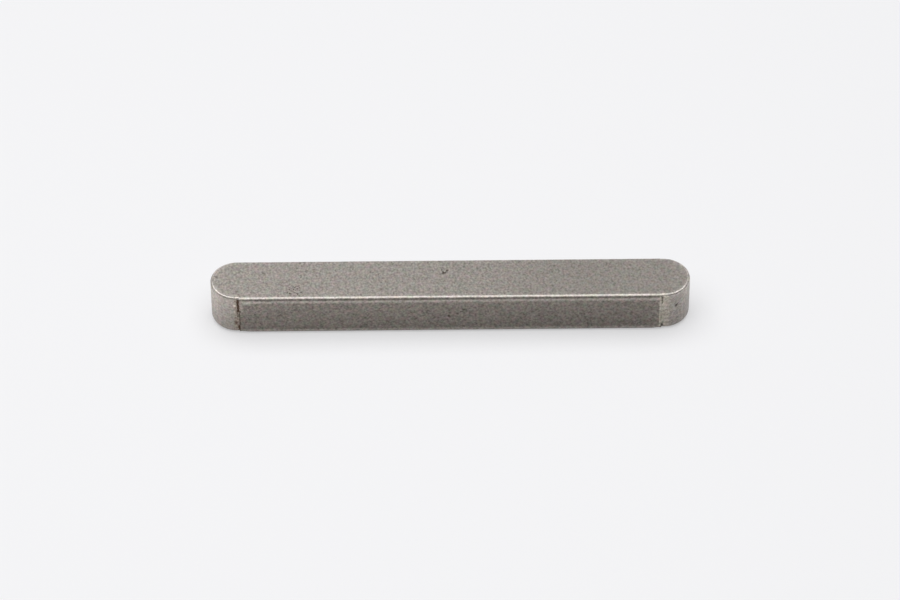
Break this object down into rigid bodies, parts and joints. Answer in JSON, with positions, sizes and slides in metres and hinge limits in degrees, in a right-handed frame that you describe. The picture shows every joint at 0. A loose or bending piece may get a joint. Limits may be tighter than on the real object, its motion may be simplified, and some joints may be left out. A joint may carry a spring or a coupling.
{
  "type": "parallel key",
  "caption": "Straight steel key with half-round ends, which sits in the keyways of a shaft and a hub and carries torque between them.",
  "frame": {"origin": "middle of the seat face, which lies in the bottom of the keyway", "axes": "+X along the key, +Y across it towards the rear flank, +Z from the seat face to the top face"},
  "size_m": [0.07, 0.008, 0.007],
  "materials": {
    "drawn_steel": "bare cold drawn steel, dull and finely grained, brighter along the long edges, with plain milled ends"
  },
  "bodies": {
    "root": {"parallel_key": "drawn_steel"}
  },
  "joints": []
}
